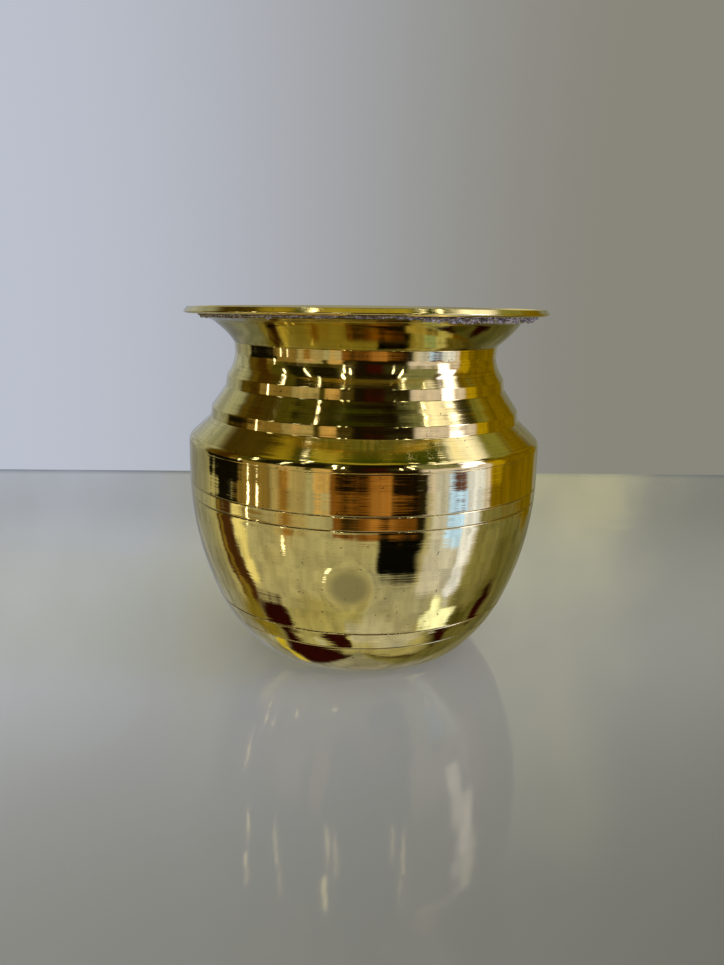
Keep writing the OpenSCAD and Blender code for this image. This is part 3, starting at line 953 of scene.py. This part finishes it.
def room(tree, xyz, azimuth):
    """Pale walls to the sides and behind, with dark between them at the front."""
    wall = mix_colour(tree, remap(tree, xyz[0], -0.35, 0.35), rgb(0.36, 0.40, 0.52),
                      rgb(0.22, 0.22, 0.18))
    left_wall = remap(tree, azimuth, -125, -113, 1.0, 0.0)
    behind = maths(tree, "MAXIMUM", left_wall, remap(tree, azimuth, 138, 152))
    return mix_colour(tree, behind, rgb(0.055, 0.045, 0.015), wall)


def with_panels(tree, colour, azimuth, elevation):
    for _, span, height, softness, tint, brightness in STUDIO:
        mask = maths(tree, "MULTIPLY", band(tree, azimuth, *span, softness),
                     band(tree, elevation, *height, softness))
        colour = mix_colour(tree, mask, colour, rgb(*[brightness * c for c in tint]))
    return colour


def with_lamps(tree, colour, azimuth, elevation):
    for az, el, half_w, half_h, brightness in LAMPS:
        u = maths(tree, "MULTIPLY_ADD", azimuth, 1 / half_w, -az / half_w)
        v = maths(tree, "MULTIPLY_ADD", elevation, 1 / half_h, -el / half_h)
        apart = maths(tree, "MULTIPLY_ADD", u, u, maths(tree, "MULTIPLY", v, v))
        mask = remap(tree, apart, 0.3, 1.0, 1.0, 0.0)
        light = rgb(brightness, brightness, LAMP_BLUE * brightness)
        colour = mix_colour(tree, mask, colour, light)
    return colour


def studio_light():
    """What the brass reflects, as a world, and a plain pale backdrop for the camera."""
    world = bpy.data.worlds.new("studio")
    world.use_nodes = True
    bpy.context.scene.world = world
    tree = world.node_tree
    tree.nodes.clear()
    way = node(tree, "ShaderNodeTexCoord").outputs["Generated"]
    xyz = node(tree, "ShaderNodeSeparateXYZ", {0: way}).outputs
    front = maths(tree, "MULTIPLY", xyz[1], -1.0)
    azimuth = maths(tree, "MULTIPLY", maths(tree, "ARCTAN2", xyz[0], front), 180 / math.pi)
    elevation = maths(tree, "MULTIPLY", maths(tree, "ARCSINE", xyz[2]), 180 / math.pi)
    colour = with_panels(tree, room(tree, xyz, azimuth),
                         warped(tree, way, azimuth, (3.1, 0.4, 1.7)),
                         warped(tree, way, elevation, (-2.3, 5.2, 0.6)))
    mottle = remap(tree, noise_at(tree, way, 9.0, 6.0, 0.7), 0.3, 0.7, 0.72, 1.28)
    colour = node(tree, "ShaderNodeVectorMath", {0: colour, 3: mottle},
                  operation="SCALE").outputs[0]
    colour = with_lamps(tree, colour, azimuth, elevation)
    reflected = node(tree, "ShaderNodeBackground", {"Color": colour, "Strength": 1.0})
    backdrop = mix_colour(tree, remap(tree, xyz[0], -0.42, 0.30), rgb(0.50, 0.53, 0.61),
                          rgb(0.25, 0.24, 0.20))
    seen = node(tree, "ShaderNodeBackground", {"Color": backdrop, "Strength": 1.0})
    ray = node(tree, "ShaderNodeLightPath").outputs["Is Camera Ray"]
    both = node(tree, "ShaderNodeMixShader", {0: ray, 1: reflected.outputs[0], 2: seen.outputs[0]})
    out = node(tree, "ShaderNodeOutputWorld")
    tree.links.new(both.outputs[0], out.inputs["Surface"])


def table_light():
    """A soft overhead lamp for the shelf. Polished brass doesn't show it."""
    lamp = bpy.data.lights.new("overhead", "AREA")
    lamp.shape, lamp.size, lamp.size_y = "RECTANGLE", 1.8, 1.6
    lamp.energy = 8.0
    lamp.color = (1.0, 1.0, 1.0)
    holder = bpy.data.objects.new("overhead", lamp)
    holder.location = (-0.05, 0.05, 0.8)
    holder.visible_glossy = False
    holder.visible_camera = False
    bpy.context.scene.collection.objects.link(holder)


CAMERA_BACK, CAMERA_SIDE, CAMERA_ABOVE_RIM = 241.4 * MM, -0.3 * MM, 1.46 * MM
CAMERA_DOWN, CAMERA_ROLL = 12.81, 1.19
FOCAL_LENGTH, SENSOR_WIDTH = 29.84, 36


def camera():
    """Just above the rim, close in front, looking down a little."""
    lens = bpy.data.cameras.new("camera")
    lens.lens = FOCAL_LENGTH
    lens.sensor_width = SENSOR_WIDTH
    lens.clip_start, lens.clip_end = 0.01, 20
    holder = bpy.data.objects.new("camera", lens)
    place = Matrix.Translation((CAMERA_SIDE, -CAMERA_BACK, RIM_Z + CAMERA_ABOVE_RIM))
    tilt = Matrix.Rotation(math.radians(90 - CAMERA_DOWN), 4, "X")
    roll = Matrix.Rotation(math.radians(CAMERA_ROLL), 4, "Z")
    holder.matrix_world = place @ tilt @ roll
    bpy.context.scene.collection.objects.link(holder)
    bpy.context.scene.camera = holder


# ---------------------------------------------------------------- the pot

POLISHED = polished_brass()
TURNED = turned_brass()
NECK = shaded_neck_brass()
LIP = lip_brass()
INSIDE = inside_brass()
BRAZE = braze_metal()
SOLDER = solder_metal()

camera()
shelf()
studio_light()
table_light()
for make in (bowl, shoulder, neck, lip_ring, lip_solder):
    make("root")
hidden_braze()
bpy.context.scene.view_settings.view_transform = "Standard"
